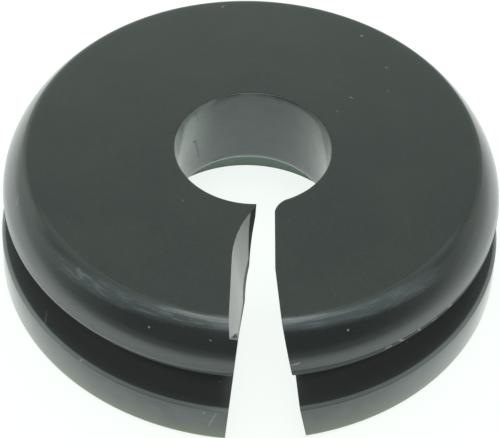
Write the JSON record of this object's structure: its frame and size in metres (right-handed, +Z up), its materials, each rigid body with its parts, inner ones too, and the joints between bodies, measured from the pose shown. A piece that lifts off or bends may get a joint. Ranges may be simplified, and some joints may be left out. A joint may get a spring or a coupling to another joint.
{
  "type": "split rubber grommet",
  "caption": "Split rubber grommet that snaps into a round panel hole and lines it for a cable or rod; rounded upper flange, panel groove, bevelled lower flange, one slit.",
  "frame": {"origin": "on the bore's axis, in the plane of the base", "axes": "+Z up along the bore from the lower flange to the upper flange, +X to the right across the slit, the slit opens towards -Y"},
  "size_m": [0.0256, 0.0256, 0.0071],
  "materials": {
    "grommet": "moulded rubber, matt on the flat top, satin on the shoulder and rims, cut faces paler and duller"
  },
  "bodies": {
    "root": {"grommet": "grommet"}
  },
  "joints": []
}
